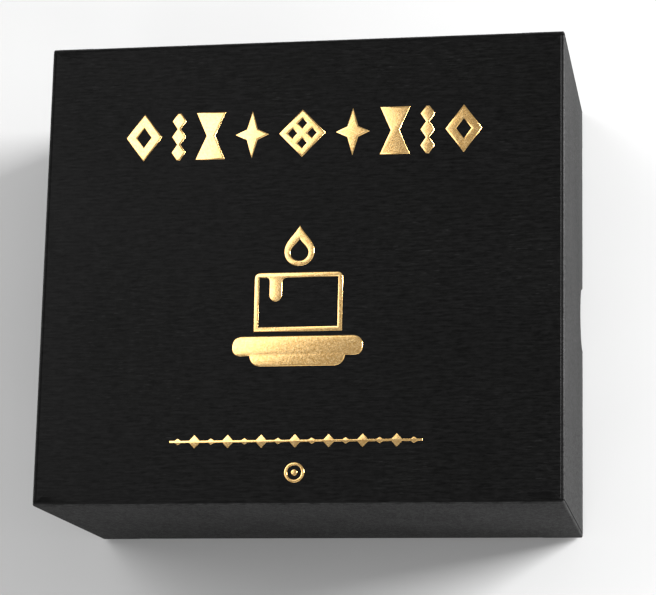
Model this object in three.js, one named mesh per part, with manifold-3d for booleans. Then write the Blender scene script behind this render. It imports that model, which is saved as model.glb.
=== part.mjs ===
// A rigid presentation box that lies flat: a full-depth lid over a tray, both of wrapped greyboard,
// with a die-cut foam insert that holds a candle on a round base.
//
// Millimetres, +Z up through the lid, +X to the right wall, -Y to the front wall.
// The origin is in the middle of the underside.

import * as THREE from "three";
import { mergeVertices } from "three/addons/utils/BufferGeometryUtils.js";
import Module from "manifold-3d";

const wasm = await Module();
wasm.setup();

// ---------------------------------------------------------------- driving dimensions

const BOX = { width: 160, depth: 144, height: 80 }; // the closed box, outside
const RIM_LIFT = 1; // from the table to the lid's rim
const PAPER = 0.15; // wrap and lining
const BOARD = 1; // greyboard
const GLUE = 0.02; // paste between board and paper
const STAY = { thick: 0.1, leg: 14, short: 3 }; // corner tape, and how far it ends from each edge
const STAY_LAYER = STAY.thick + GLUE; // what the tape takes up under the wrap
const FIT_GAP = 0.3; // between the lid's inside and the tray, each side
const NOTCH_RADIUS = 10; // half-round thumb notch in the lid's rim
const LID_TURN_IN = 16; // paper folded in over the rim
const TRAY_TURN_IN = 32;
const TURN_UNDER = 15; // the tray's wrap, folded under its floor

const FOIL = 0.06; // gold foil on the lid
const STROKE = 2.6; // width of the title ornaments' lines
const TITLE = { height: 15, centreY: 42.3, gap: 3.2 };
const SIGN_Y = -8.6; // middle of the candle sign
const RULE = { halfLength: 38.3, centreY: -52.9, thick: 0.7 };
const MARK = { centreY: -62.4, outer: 3.05, inner: 2.15, dot: 0.95 };

const FOAM = { pad: 8, top: 50, clearance: 0.3, cover: 0.6 };
const WELL = { radius: 47, scoopRadius: 13, scoopX: 47 };
const BASE = { radius: 46, height: 22, felt: 1.5, band: 1, lip: 2, wellDepth: 4 };
const CANDLE = { radius: 34, height: 41, wall: 0.8, waxBelowRim: 3 };
const WICK = { radius: 1.2, above: 6, clipRadius: 9, clipThick: 0.5, neckRadius: 2, neckHeight: 4 };
const CLEAR = 0.1; // between pieces that only rest in each other

const ROUND = 64; // sides of the large round pieces
const SMALL_ROUND = 24;

// Thickness of a wrapped wall, from the outside of its wrap to the inside of its turn-in.
const WALL = PAPER + STAY_LAYER + BOARD + GLUE + PAPER;
const CEILING = BOX.height - PAPER - GLUE - BOARD - GLUE - PAPER; // the lid rests on the tray here

const LID = { hx: BOX.width / 2, hy: BOX.depth / 2, rim: RIM_LIFT, closed: BOX.height };
const TRAY = {
  hx: LID.hx - WALL - FIT_GAP,
  hy: LID.hy - WALL - FIT_GAP,
  rim: CEILING,
  closed: 0,
};

// ---------------------------------------------------------------- finishes

const FINISH = {
  wrap: { color: 0x1a1a1b, roughness: 0.6, metalness: 0 },
  board: { color: 0x8c867b, roughness: 0.95, metalness: 0 },
  tape: { color: 0xb79a6b, roughness: 0.8, metalness: 0 },
  lining: { color: 0x161617, roughness: 0.75, metalness: 0 },
  foil: { color: 0xd8a952, roughness: 0.28, metalness: 1 },
  foam: { color: 0x1c1c1e, roughness: 0.95, metalness: 0 },
  flock: { color: 0x101012, roughness: 1, metalness: 0 },
  lacquer: { color: 0x111112, roughness: 0.35, metalness: 0 },
  brass: { color: 0xcf9f4a, roughness: 0.3, metalness: 1 },
  felt: { color: 0x202022, roughness: 1, metalness: 0 },
  cup: { color: 0x161617, roughness: 0.4, metalness: 0.9 },
  wax: { color: 0xefe4cc, roughness: 0.5, metalness: 0 },
  tin: { color: 0xb9bbbd, roughness: 0.3, metalness: 1 },
  cotton: { color: 0xe9e2d2, roughness: 0.95, metalness: 0 },
};

const group = new THREE.Group();

function add(name, geometry, finish) {
  const mesh = new THREE.Mesh(geometry, new THREE.MeshStandardMaterial(FINISH[finish]));
  mesh.name = name;
  group.add(mesh);
  return mesh;
}

// ---------------------------------------------------------------- solids and booleans

function toSolid(geometry) {
  const bare = geometry.index ? geometry.toNonIndexed() : geometry.clone();
  bare.deleteAttribute("normal");
  bare.deleteAttribute("uv");
  const merged = mergeVertices(bare);
  return new wasm.Manifold(
    new wasm.Mesh({
      numProp: 3,
      vertProperties: merged.attributes.position.array,
      triVerts: new Uint32Array(merged.index.array),
    }),
  );
}

function toGeometry(solid) {
  const mesh = solid.getMesh();
  const geometry = new THREE.BufferGeometry();
  geometry.setAttribute("position", new THREE.BufferAttribute(mesh.vertProperties, 3));
  geometry.setIndex(new THREE.BufferAttribute(mesh.triVerts, 1));
  geometry.computeVertexNormals();
  return geometry;
}

// A block centred on the Z axis, given by its half sizes and its two ends in Z, in either order.
function block(hx, hy, zA, zB) {
  const geometry = new THREE.BoxGeometry(2 * hx, 2 * hy, Math.abs(zB - zA));
  return toSolid(geometry.translate(0, 0, (zA + zB) / 2));
}

// A round bar along X that cuts the thumb notches in both side walls.
function notchBar(radius, reach) {
  const bar = new THREE.CylinderGeometry(radius, radius, 2 * reach, SMALL_ROUND * 2);
  return toSolid(bar.rotateZ(Math.PI / 2).translate(0, 0, LID.rim));
}

// A flat shape given thickness upwards from z.
function plate(shape, z, thick, curveSegments = SMALL_ROUND) {
  const options = { depth: thick, bevelEnabled: false, curveSegments };
  return new THREE.ExtrudeGeometry(shape, options).translate(0, 0, z);
}

// A profile of [radius, z] pairs turned round the Z axis.
function turned(profile, sides = ROUND) {
  const points = profile.map(([radius, z]) => new THREE.Vector2(radius, z));
  return new THREE.LatheGeometry(points, sides).rotateX(Math.PI / 2);
}

// ---------------------------------------------------------------- wrapped board shells

// In each of these, part.rim is the open edge's height and part.closed the closed face's, so the
// same code makes the lid, open downwards, and the tray, open upwards.
const inward = (part) => Math.sign(part.closed - part.rim);

// A board shell with one open side. Its outside lies under the wrap and the tape.
function boardShell(part) {
  const s = inward(part);
  const hx = part.hx - PAPER - STAY_LAYER;
  const hy = part.hy - PAPER - STAY_LAYER;
  const rim = part.rim + s * (PAPER + GLUE);
  const closed = part.closed - s * (PAPER + GLUE);
  return block(hx, hy, rim, closed).subtract(
    block(hx - BOARD, hy - BOARD, rim - s, closed - s * BOARD),
  );
}

// The paper over a board shell: outside, round the rim, and turned in. Where a notch radius is
// given, the paper also lines the notch.
function paperWrap(part, turnIn, notchRadius = 0) {
  const s = inward(part);
  const skinX = part.hx - PAPER;
  const skinY = part.hy - PAPER;
  const turnInX = part.hx - WALL;
  const turnInY = part.hy - WALL;
  const turnInEnd = part.rim + s * turnIn;
  let boardSpace = block(skinX, skinY, part.rim + s * PAPER, turnInEnd + s).subtract(
    block(turnInX + PAPER, turnInY + PAPER, part.rim - s, turnInEnd + 2 * s),
  );
  if (notchRadius) boardSpace = boardSpace.subtract(notchBar(notchRadius + PAPER, part.hx));
  let wrap = block(part.hx, part.hy, part.rim, part.closed)
    .subtract(block(skinX, skinY, turnInEnd, part.closed - s * PAPER))
    .subtract(block(turnInX, turnInY, part.rim - s, turnInEnd + s))
    .subtract(boardSpace);
  if (notchRadius) wrap = wrap.subtract(notchBar(notchRadius, part.hx + 1));
  return wrap;
}

// An L-shaped strip of tape round one vertical corner of the board, under the wrap.
function cornerStay(part, signX, signY) {
  const s = inward(part);
  const x = part.hx - PAPER - STAY_LAYER + GLUE / 2;
  const y = part.hy - PAPER - STAY_LAYER + GLUE / 2;
  const corner = new THREE.Shape();
  corner.moveTo(x - STAY.leg, y);
  corner.lineTo(x, y);
  corner.lineTo(x, y - STAY.leg);
  corner.lineTo(x + STAY.thick, y - STAY.leg);
  corner.lineTo(x + STAY.thick, y + STAY.thick);
  corner.lineTo(x - STAY.leg, y + STAY.thick);
  const low = Math.min(part.rim, part.closed) + STAY.short;
  const high = Math.max(part.rim, part.closed) - STAY.short;
  const strip = toSolid(plate(corner, low, high - low));
  const mirrored = signX * signY < 0 ? strip.mirror([1, 0, 0]) : strip;
  return signY < 0 ? mirrored.rotate([0, 0, 180]) : mirrored;
}

function addCornerStays(part, prefix) {
  const corners = { back_right: [1, 1], back_left: [-1, 1], front_right: [1, -1], front_left: [-1, -1] };
  for (const [corner, [signX, signY]] of Object.entries(corners)) {
    add(`${prefix}_stay_${corner}`, toGeometry(cornerStay(part, signX, signY)), "tape");
  }
}

// ---------------------------------------------------------------- lid

function addLid() {
  const board = boardShell(LID).subtract(notchBar(NOTCH_RADIUS + PAPER + GLUE, LID.hx));
  add("lid_board", toGeometry(board), "board");
  add("lid_wrap", toGeometry(paperWrap(LID, LID_TURN_IN, NOTCH_RADIUS)), "wrap");
  addCornerStays(LID, "lid");

  const liningX = LID.hx - WALL + PAPER;
  const liningY = LID.hy - WALL + PAPER;
  const liningRim = LID.rim + LID_TURN_IN + GLUE;
  const lining = block(liningX, liningY, liningRim, CEILING + PAPER).subtract(
    block(liningX - PAPER, liningY - PAPER, liningRim - 1, CEILING),
  );
  add("lid_lining", toGeometry(lining), "lining");
}

// ---------------------------------------------------------------- gold foil on the lid

function outline(points, hole) {
  const shape = new THREE.Shape(points.map(([x, y]) => new THREE.Vector2(x, y)));
  if (hole) shape.holes.push(new THREE.Path(hole.map(([x, y]) => new THREE.Vector2(x, y))));
  return shape;
}

const lozengePoints = (hx, hy) => [[hx, 0], [0, hy], [-hx, 0], [0, -hy]];

// A lozenge drawn as a line of even width: its inner outline is the outer one, moved in.
function lozengeRing(hx, hy) {
  const shrink = 1 - (STROKE * Math.hypot(hx, hy)) / (hx * hy);
  return outline(lozengePoints(hx, hy), lozengePoints(hx * shrink, hy * shrink));
}

// A lattice lozenge: four small lozenge openings divided by a cross.
function lozengeLattice(hx, hy) {
  const shape = outline(lozengePoints(hx, hy));
  const opening = lozengePoints(hx * 0.21, hy * 0.21);
  for (const [dx, dy] of lozengePoints(hx * 0.42, hy * 0.42)) {
    const moved = opening.map(([x, y]) => new THREE.Vector2(x + dx, y + dy));
    shape.holes.push(new THREE.Path(moved));
  }
  return shape;
}

function fourPointStar(hx, hy, waist) {
  const points = [];
  for (const [sx, sy] of [[1, 1], [-1, 1], [-1, -1], [1, -1]]) {
    const tips = [[hx * sx, 0], [waist * sx, waist * sy], [0, hy * sy]];
    points.push(...(sx * sy > 0 ? tips.slice(0, 2) : tips.reverse().slice(0, 2)));
  }
  return outline(points);
}

function hourglass(hx, hy, waist) {
  return outline([[hx, hy], [-hx, hy], [-waist, 0], [-hx, -hy], [hx, -hy], [waist, 0]]);
}

// Lozenge beads one above the other, joined at necks.
function beadColumn(hx, hy, beads, neck) {
  const right = [];
  const pitch = (2 * hy) / beads;
  for (let i = 0; i < beads; i += 1) {
    const bottom = -hy + i * pitch;
    right.push([neck, bottom], [hx, bottom + pitch / 2]);
  }
  right.push([neck, hy]);
  const left = right.map(([x, y]) => [-x, y]).reverse();
  return outline([...right, ...left]);
}

// The title row: nine ornaments, alike from both ends, spaced evenly about the middle.
function addTitleRow() {
  const hy = TITLE.height / 2;
  const kinds = [
    { hx: 7.2, shape: lozengeLattice(7.2, hy) },
    { hx: 5.2, shape: fourPointStar(5.2, hy, 1.7) },
    { hx: 4.6, shape: hourglass(4.6, hy, 1.3) },
    { hx: 2.2, shape: beadColumn(2.2, hy, 3, 0.5) },
    { hx: 5.6, shape: lozengeRing(5.6, hy) },
  ];
  let x = -kinds[0].hx - TITLE.gap;
  kinds.forEach(({ hx, shape }, step) => {
    x += TITLE.gap + hx;
    for (const side of step ? [-1, 1] : [1]) {
      const foil = plate(shape, BOX.height, FOIL).translate(side * x, TITLE.centreY, 0);
      add(`foil_title_${5 + side * step}`, foil, "foil");
    }
    x += hx;
  });
}

// A flat front view of a candle on a broad foot.
function addCandleSign() {
  const flame = new THREE.Shape();
  flame.moveTo(0, 21.8);
  flame.bezierCurveTo(-1.6, 18.6, -4.8, 16.8, -4.6, 13.4);
  flame.bezierCurveTo(-4.4, 10.6, -2.4, 9.2, 0, 9.2);
  flame.bezierCurveTo(2.4, 9.2, 4.4, 10.6, 4.6, 13.4);
  flame.bezierCurveTo(4.8, 16.8, 1.6, 18.6, 0, 21.8);
  const heart = new THREE.Path();
  heart.moveTo(0, 17.6);
  heart.bezierCurveTo(0.9, 15.9, 2.9, 15, 2.8, 13.2);
  heart.bezierCurveTo(2.7, 11.7, 1.5, 10.8, 0, 10.8);
  heart.bezierCurveTo(-1.5, 10.8, -2.7, 11.7, -2.8, 13.2);
  heart.bezierCurveTo(-2.9, 15, -0.9, 15.9, 0, 17.6);
  flame.holes.push(heart);

  // The candle's outline, with one run of wax hanging from its top line.
  const candle = new THREE.Shape();
  candle.moveTo(13.5, -11);
  candle.lineTo(13.5, 5.2);
  candle.quadraticCurveTo(13.5, 7.2, 11.5, 7.2);
  candle.lineTo(-11.5, 7.2);
  candle.quadraticCurveTo(-13.5, 7.2, -13.5, 5.2);
  candle.lineTo(-13.5, -11);
  const inside = new THREE.Path();
  inside.moveTo(-12.1, -9.6);
  inside.lineTo(-12.1, 5.7);
  inside.lineTo(-10.4, 5.7);
  inside.quadraticCurveTo(-8.9, 5.7, -8.9, 4.2);
  inside.lineTo(-8.9, 0.2);
  inside.absarc(-7, 0.2, 1.9, Math.PI, 2 * Math.PI, false);
  inside.lineTo(-5.1, 3.7);
  inside.quadraticCurveTo(-5.1, 5.7, -3.1, 5.7);
  inside.lineTo(12.1, 5.7);
  inside.lineTo(12.1, -9.6);
  candle.holes.push(inside);

  // The foot: a solid bar with round ends, above a narrower one.
  const foot = new THREE.Shape();
  foot.moveTo(-16.5, -12.4);
  foot.quadraticCurveTo(-19.9, -12.4, -19.9, -15.8);
  foot.quadraticCurveTo(-19.9, -18.4, -17.3, -18.4);
  foot.lineTo(-14.6, -18.4);
  foot.quadraticCurveTo(-14.2, -21.6, -11, -21.6);
  foot.lineTo(11, -21.6);
  foot.quadraticCurveTo(14.2, -21.6, 14.6, -18.4);
  foot.lineTo(17.3, -18.4);
  foot.quadraticCurveTo(19.9, -18.4, 19.9, -15.8);
  foot.quadraticCurveTo(19.9, -12.4, 16.5, -12.4);

  for (const [name, shape] of Object.entries({ flame, candle, foot })) {
    add(`foil_sign_${name}`, plate(shape, BOX.height, FOIL, 10).translate(0, SIGN_Y, 0), "foil");
  }
}

// A thin rule with lozenge beads along it, larger towards the middle.
function addRule() {
  const half = RULE.thick / 2;
  const pitch = 5.1;
  const beads = 7;
  const top = [[-RULE.halfLength, half]];
  for (let i = -beads; i <= beads; i += 1) {
    const hy = i % 2 ? 1 : 2.1;
    const hx = i % 2 ? 1 : 1.6;
    top.push([i * pitch - hx, half], [i * pitch, hy], [i * pitch + hx, half]);
  }
  top.push([RULE.halfLength, half]);
  const bottom = top.map(([x, y]) => [x, -y]).reverse();
  const foil = plate(outline([...bottom, ...top].reverse()), BOX.height, FOIL);
  add("foil_rule", foil.translate(0, RULE.centreY, 0), "foil");
}

function addRoundMark() {
  const ring = new THREE.Shape().absarc(0, 0, MARK.outer, 0, 2 * Math.PI, false);
  ring.holes.push(new THREE.Path().absarc(0, 0, MARK.inner, 0, 2 * Math.PI, true));
  const dot = new THREE.Shape().absarc(0, 0, MARK.dot, 0, 2 * Math.PI, false);
  add("foil_mark_ring", plate(ring, BOX.height, FOIL, 20).translate(0, MARK.centreY, 0), "foil");
  add("foil_mark_dot", plate(dot, BOX.height, FOIL, 10).translate(0, MARK.centreY, 0), "foil");
}

// ---------------------------------------------------------------- tray

function addTray() {
  add("tray_board", toGeometry(boardShell(TRAY)), "board");
  addCornerStays(TRAY, "tray");

  const windowX = TRAY.hx - TURN_UNDER;
  const windowY = TRAY.hy - TURN_UNDER;
  const wrap = paperWrap(TRAY, TRAY_TURN_IN).subtract(block(windowX, windowY, -1, 1));
  add("tray_wrap", toGeometry(wrap), "wrap");

  const sheet = block(windowX - GLUE, windowY - GLUE, 0, PAPER);
  add("tray_base_sheet", toGeometry(sheet), "lining");
}

// ---------------------------------------------------------------- foam insert

// The round well with a finger scoop on each side, as one outline.
function wellOutline(PathClass) {
  const { radius, scoopRadius, scoopX } = WELL;
  // Where the scoop's circle crosses the well's, as angles about each centre.
  const crossX = (radius ** 2 - scoopRadius ** 2 + scoopX ** 2) / (2 * scoopX);
  const crossY = Math.sqrt(radius ** 2 - crossX ** 2);
  const onWell = Math.atan2(crossY, crossX);
  const onScoop = Math.atan2(crossY, crossX - scoopX);
  const path = new PathClass();
  path.absarc(0, 0, radius, onWell, Math.PI - onWell, false);
  path.absarc(-scoopX, 0, scoopRadius, Math.PI - onScoop, Math.PI + onScoop, false);
  path.absarc(0, 0, radius, Math.PI + onWell, -onWell, false);
  path.absarc(scoopX, 0, scoopRadius, -onScoop, onScoop, false);
  return path;
}

function insertOutline() {
  const hx = TRAY.hx - WALL - FOAM.clearance;
  const hy = TRAY.hy - WALL - FOAM.clearance;
  return outline([[hx, hy], [-hx, hy], [-hx, -hy], [hx, -hy]]);
}

const FLOOR = PAPER + GLUE + BOARD + GLUE;
const PAD_TOP = FLOOR + FOAM.pad;

function addInsert() {
  const bored = insertOutline();
  bored.holes.push(wellOutline(THREE.Path));
  const blockBottom = PAD_TOP + GLUE;
  add("foam_pad", plate(insertOutline(), FLOOR, FOAM.pad), "foam");
  add("foam_block", plate(bored, blockBottom, FOAM.top - blockBottom), "foam");
  add("foam_cover", plate(bored, FOAM.top + GLUE, FOAM.cover), "flock");
}

// ---------------------------------------------------------------- round base

const BASE_BOTTOM = PAD_TOP + GLUE + BASE.felt + GLUE;
const BASE_TOP = BASE_BOTTOM + BASE.height;

function addBase() {
  const seat = BASE.radius - BASE.band - CLEAR / 2; // the body under the band
  const well = CANDLE.radius + 2 * CLEAR;
  const lipBottom = BASE_TOP - BASE.lip;
  const chamfer = 0.6;
  const body = turned([
    [0, BASE_BOTTOM],
    [seat, BASE_BOTTOM],
    [seat, lipBottom],
    [BASE.radius, lipBottom],
    [BASE.radius, BASE_TOP - chamfer],
    [BASE.radius - chamfer, BASE_TOP],
    [well, BASE_TOP],
    [well, BASE_TOP - BASE.wellDepth],
    [0, BASE_TOP - BASE.wellDepth],
  ]);
  const inner = BASE.radius - BASE.band;
  const band = turned([
    [inner, BASE_BOTTOM],
    [BASE.radius, BASE_BOTTOM],
    [BASE.radius, lipBottom - CLEAR],
    [inner, lipBottom - CLEAR],
    [inner, BASE_BOTTOM],
  ]);
  const feltTop = BASE_BOTTOM - GLUE;
  const feltRadius = seat - 2;
  const felt = turned([
    [0, feltTop - BASE.felt],
    [feltRadius, feltTop - BASE.felt],
    [feltRadius, feltTop],
    [0, feltTop],
  ]);
  add("base_body", body, "lacquer");
  add("base_band", band, "brass");
  add("base_felt", felt, "felt");
}

// ---------------------------------------------------------------- candle

function addCandle() {
  const bottom = BASE_TOP - BASE.wellDepth + GLUE;
  const rim = bottom + CANDLE.height;
  const inner = CANDLE.radius - CANDLE.wall;
  const floor = bottom + CANDLE.wall;
  add(
    "candle_cup",
    turned([
      [0, bottom],
      [CANDLE.radius - CANDLE.wall, bottom],
      [CANDLE.radius, bottom + CANDLE.wall],
      [CANDLE.radius, rim],
      [inner, rim],
      [inner, floor],
      [0, floor],
    ]),
    "cup",
  );

  // The wick clip is a flat disc with a neck that grips the wick's foot.
  const clipBottom = floor + CLEAR;
  const clipTop = clipBottom + WICK.clipThick;
  const neckTop = clipTop + WICK.neckHeight;
  const bore = WICK.radius + CLEAR;
  add(
    "wick_clip",
    turned(
      [
        [bore, clipBottom],
        [WICK.clipRadius, clipBottom],
        [WICK.clipRadius, clipTop],
        [WICK.neckRadius, clipTop],
        [WICK.neckRadius, neckTop],
        [bore, neckTop],
        [bore, clipBottom],
      ],
      SMALL_ROUND,
    ),
    "tin",
  );

  // The wax fills the cup round the clip and the wick.
  const waxOuter = inner - CLEAR;
  const waxTop = rim - CANDLE.waxBelowRim;
  add(
    "wax",
    turned([
      [bore, neckTop + CLEAR],
      [WICK.neckRadius + CLEAR, neckTop + CLEAR],
      [WICK.neckRadius + CLEAR, clipTop + CLEAR],
      [WICK.clipRadius + CLEAR, clipTop + CLEAR],
      [WICK.clipRadius + CLEAR, clipBottom],
      [waxOuter, clipBottom],
      [waxOuter, waxTop],
      [bore, waxTop],
      [bore, neckTop + CLEAR],
    ]),
    "wax",
  );

  const wickTop = waxTop + WICK.above;
  add(
    "wick",
    turned([[0, clipBottom], [WICK.radius, clipBottom], [WICK.radius, wickTop], [0, wickTop]], 12),
    "cotton",
  );
}

addTray();
addInsert();
addBase();
addCandle();
addLid();
addTitleRow();
addCandleSign();
addRule();
addRoundMark();

export default group;
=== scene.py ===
"""A black lift-off lid presentation box with gold foil on its lid.

The lid comes off a wrapped tray, where a foam insert holds a candle on a round base. Everything is
in metres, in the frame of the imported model: +Z up through the lid, -Y towards the front wall.
"""

import math
from collections import namedtuple

import bmesh
import bpy
from mathutils import Matrix, Vector


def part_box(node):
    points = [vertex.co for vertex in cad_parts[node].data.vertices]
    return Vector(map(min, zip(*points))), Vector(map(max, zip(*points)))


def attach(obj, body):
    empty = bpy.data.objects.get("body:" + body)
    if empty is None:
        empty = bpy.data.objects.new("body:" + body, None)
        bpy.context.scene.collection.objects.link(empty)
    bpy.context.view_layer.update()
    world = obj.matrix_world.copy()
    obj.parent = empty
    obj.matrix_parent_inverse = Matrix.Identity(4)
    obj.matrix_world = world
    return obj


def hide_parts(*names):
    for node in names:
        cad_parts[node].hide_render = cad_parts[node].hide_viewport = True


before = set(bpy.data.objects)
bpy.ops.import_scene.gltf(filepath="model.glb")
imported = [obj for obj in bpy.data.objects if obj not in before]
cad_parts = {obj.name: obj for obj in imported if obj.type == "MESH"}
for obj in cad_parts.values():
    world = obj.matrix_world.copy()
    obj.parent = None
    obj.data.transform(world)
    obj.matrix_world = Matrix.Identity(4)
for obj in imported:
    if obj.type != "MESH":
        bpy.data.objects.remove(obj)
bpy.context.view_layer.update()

MM = 0.001

# ---------------------------------------------------------------- sizes

PAPER = 0.15 * MM
BOARD = 1.0 * MM
STAY_LAYER = 0.12 * MM  # tape and paste between board and wrap
GLUE = 0.02 * MM
WALL = 2 * PAPER + STAY_LAYER + BOARD + GLUE  # outside of the wrap to inside of the turn-in
CORNER_RADIUS = 0.7 * MM  # upright corners, outside
INNER_RADIUS = 0.2 * MM  # the least that a corner's radius shrinks to further in
FOLD_RADIUS = 0.5 * MM  # where the wrap folds over the board's edge
NOTCH_RADIUS = 10 * MM
NOTCH_MOUTH = 0.8 * MM  # rounding where the notch meets the rim
LID_TURN_IN = 16 * MM
TRAY_TURN_IN = 32 * MM
TURN_UNDER = 15 * MM
RIM_BAND = 0.5 * MM  # the band of wall along the rim that gets a painted highlight
TAB_LENGTH = 13 * MM  # hidden tab that goes round each corner, under the front and back paper
TAB_STEP = 0.3 * MM  # along the wall, where the paper climbs onto the tab
TAB_SWELL = 0.06 * MM
SLIT_DEPTH = 0.12 * MM  # beside each upright corner, where the front or back paper ends
# Across that slit, as (distance from the corner's arc, depth).
SLIT = ((0.48 * MM, 0.0), (0.42 * MM, SLIT_DEPTH), (0.16 * MM, SLIT_DEPTH), (0.1 * MM, 0.0))
STAY_THICK = 0.1 * MM
STAY_LEG = 14 * MM
FOIL_RISE = 0.24 * MM
FOIL_SINK = 0.03 * MM
FOIL_EDGE = 0.5 * MM  # how far in the foil's edge is rounded
FINE_FOIL_EDGES = {"foil_rule": 0.12 * MM, "foil_mark_ring": 0.25 * MM, "foil_mark_dot": 0.3 * MM,
                   "foil_sign_candle": 0.35 * MM, "foil_sign_flame": 0.4 * MM}
WELL_RADIUS = 47 * MM
SCOOP_RADIUS = 13 * MM
SLAB_CORNER = 0.8 * MM
SLEEVE_WALL = 1.0 * MM
CUP_WALL = 0.8 * MM
STRAND_RADIUS = 0.52 * MM
STRAND_SPREAD = 0.62 * MM  # how far the wick's strands swing out from its middle
STRAND_PITCH = 3.6 * MM
WICK_LEAN = 1.1 * MM
WICK_TIP = 0.14  # share of the wick that leans
MERGE = 1e-7  # points nearer than this are one


# ---------------------------------------------------------------- materials

PATCH_GRAIN = 34.0  # patches per metre, where the paper has more flecks and less gloss
FIBRE_RATIO = 1.9  # fibres for each streak
FLECK_GAIN = 3.2  # the brightest flecks against the light tone
# Tones of the painted highlight on the folds, the rim and the upright corners.
PAINTED_HIGHLIGHT_TONES = (0.022, 0.05)
GLOSS_DRIFT = 0.1  # how far the roughness rises above its least


class Finish:
    """A node-built material. What is the same all over is set on the shader's own sockets."""

    def __init__(self, name, **sockets):
        self.material = bpy.data.materials.new(name)
        self.material.use_nodes = True
        self.tree = self.material.node_tree
        self.shader = self.tree.nodes["Principled BSDF"]
        for socket, value in sockets.items():
            self.shader.inputs[socket.replace("_", " ")].default_value = value

    def node(self, kind, **sockets):
        made = self.tree.nodes.new("ShaderNode" + kind)
        for socket, value in sockets.items():
            target = made.inputs[socket.replace("_", " ")]
            if isinstance(value, bpy.types.NodeSocket):
                self.tree.links.new(value, target)
            else:
                target.default_value = value
        return made

    def feed(self, source, socket):
        self.tree.links.new(source, self.shader.inputs[socket])

    def coordinates(self, grain):
        """Places on the object, with grain features per metre along each axis."""
        place = self.node("TexCoord").outputs["Object"]
        return self.node("Mapping", Vector=place, Scale=grain).outputs["Vector"]

    def noise(self, grain, detail=3.0, roughness=0.55, distortion=0.0):
        place = self.coordinates(grain if isinstance(grain, tuple) else (grain,) * 3)
        made = self.node("TexNoise", Vector=place, Scale=1.0, Detail=detail, Roughness=roughness,
                         Distortion=distortion)
        return made.outputs["Fac"]

    def ramp(self, factor, *stops):
        """Colours between stops of (position, colour), where a number is a grey."""
        made = self.node("ValToRGB", Fac=factor)
        elements = made.color_ramp.elements
        while len(elements) < len(stops):
            elements.new(1.0)
        for element, (position, colour) in zip(elements, stops):
            element.position = position
            grey = not isinstance(colour, tuple)
            element.color = (colour,) * 3 + (1,) if grey else colour + (1,)
        return made.outputs["Color"]

    def mixed(self, factor, first, second):
        """first towards second, where factor is a number or a socket."""
        made = self.tree.nodes.new("ShaderNodeMix")
        made.data_type = "RGBA"
        if isinstance(factor, bpy.types.NodeSocket):
            self.tree.links.new(factor, made.inputs["Factor"])
        else:
            made.inputs["Factor"].default_value = factor
        for socket, value in (("A", first), ("B", second)):
            target = next(s for s in made.inputs if s.name == socket and s.type == "RGBA")
            self.tree.links.new(value, target)
        return next(s for s in made.outputs if s.type == "RGBA")

    def product(self, first, second):
        made = self.tree.nodes.new("ShaderNodeMath")
        made.operation = "MULTIPLY"
        self.tree.links.new(first, made.inputs[0])
        self.tree.links.new(second, made.inputs[1])
        return made.outputs["Value"]

    def painted(self, name):
        """A value that the mesh carries on its points."""
        made = self.node("Attribute")
        made.attribute_name = name
        return made.outputs["Fac"]

    def bumps(self, *layers):
        """Stacked bumps of (height, strength, distance)."""
        normal = None
        for height, strength, distance in layers:
            bump = self.node("Bump", Height=height, Strength=strength, Distance=distance)
            if normal:
                self.tree.links.new(normal, bump.inputs["Normal"])
            normal = bump.outputs["Normal"]
        self.feed(normal, "Normal")


def wrap_paper(name, grain, mottle_grain, dark, light, share, relief, smooth, **sockets):
    """Black wrapping paper. grain and mottle_grain are features per metre along each axis, dark and
    light are its tones, share is how much of the tone is mottle, relief scales the bumps, and smooth
    is the least roughness. The folds, the rim and the upright corners get a lighter painted highlight
    where the mesh says so."""
    finish = Finish(name, **sockets)
    streaks = finish.noise(grain, detail=4, roughness=0.65)
    fibres = finish.noise(tuple(FIBRE_RATIO * g for g in grain), detail=2, roughness=0.5)
    mottle = finish.noise(mottle_grain, detail=4, roughness=0.68)
    patches = finish.noise(PATCH_GRAIN, detail=2, roughness=0.5)
    middle = (dark + light) / 2
    tone = finish.ramp(streaks, (0.38, dark), (0.54, middle), (0.66, light))
    mottled = finish.ramp(mottle, (0.4, dark), (0.62, light))
    plain = finish.mixed(share, tone, mottled)
    flecks = finish.product(finish.ramp(fibres, (0.63, 0.0), (0.76, 1.0)),
                            finish.ramp(patches, (0.42, 0.0), (0.62, 1.0)))
    fleck_tone = finish.ramp(mottle, (0.3, light), (0.7, FLECK_GAIN * light))
    flecked = finish.mixed(flecks, plain, fleck_tone)
    # Painted highlight: lighter paper on the folds, the rim and the upright corners, as much as the
    # mesh's painted share says.
    highlight_share = finish.product(finish.painted("wear_and_painted_light"), finish.ramp(mottle, (0.3, 0.25), (0.6, 1.0)))
    highlight_tone = finish.ramp(streaks, (0.3, PAINTED_HIGHLIGHT_TONES[0]), (0.7, PAINTED_HIGHLIGHT_TONES[1]))
    finish.feed(finish.mixed(highlight_share, flecked, highlight_tone), "Base Color")
    finish.feed(finish.ramp(patches, (0.3, smooth), (0.7, smooth + GLOSS_DRIFT)), "Roughness")
    finish.bumps((streaks, 0.5, 0.08 * MM * relief), (fibres, 0.3, 0.04 * MM * relief),
                 (mottle, 0.4, 0.08 * MM * relief))
    return finish.material


def greyboard():
    finish = Finish("greyboard", Roughness=0.95, Specular_IOR_Level=0.2)
    fibres = finish.noise((700.0, 900.0, 900.0), detail=5, roughness=0.7)
    flecks = finish.noise(260.0, detail=2)
    tone = finish.ramp(fibres, (0.3, (0.2, 0.185, 0.16)), (0.7, (0.34, 0.32, 0.28)))
    specks = finish.ramp(flecks, (0.35, (0.16, 0.15, 0.13)), (0.6, (0.33, 0.31, 0.27)))
    finish.feed(finish.mixed(0.3, tone, specks), "Base Color")
    finish.bumps((fibres, 0.4, 0.08 * MM))
    return finish.material


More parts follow.
